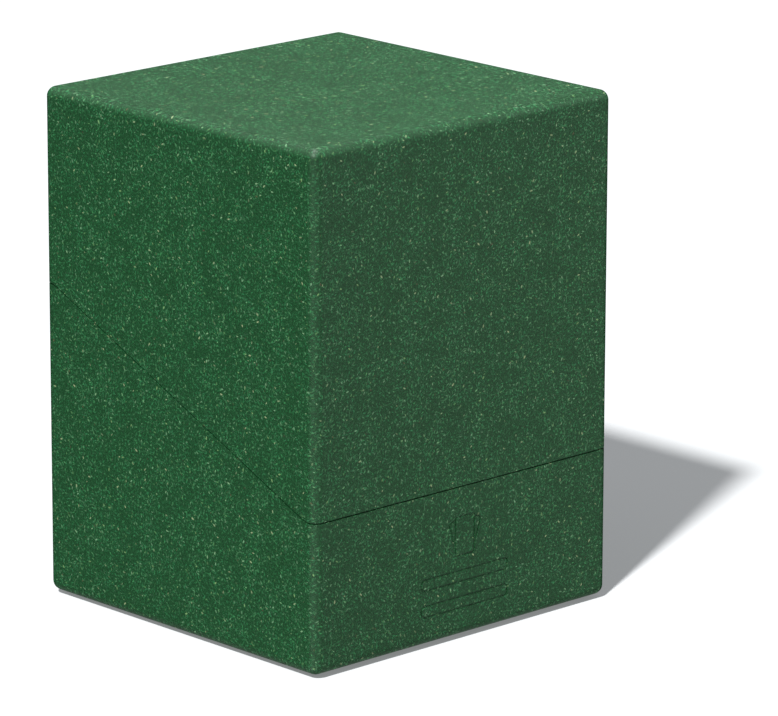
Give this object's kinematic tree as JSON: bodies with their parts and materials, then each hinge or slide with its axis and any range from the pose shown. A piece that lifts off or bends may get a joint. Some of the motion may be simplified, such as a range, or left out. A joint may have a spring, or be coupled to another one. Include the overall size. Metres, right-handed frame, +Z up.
{
  "type": "card deck box",
  "caption": "Upright two-piece case for a deck of sleeved cards: a low-front tray with an inner collar and a lift-off lid that meet on a sloping seam.",
  "frame": {"origin": "centre of the case's underside", "axes": "+X to the right as the low front is faced from outside, +Y from the low front to the high back, +Z up"},
  "size_m": [0.077, 0.076, 0.1],
  "materials": {
    "base": "satin moulded plastic filled with short pale plant fibres",
    "lid": "satin moulded plastic filled with short pale plant fibres"
  },
  "bodies": {
    "base": {"base": "base"},
    "lid": {"lid": "lid"}
  },
  "joints": [
    {"name": "lid_lift", "type": "slide", "parent": "base", "child": "lid", "axis": [0, 0, 1], "range_m": [0, 0.075]}
  ]
}
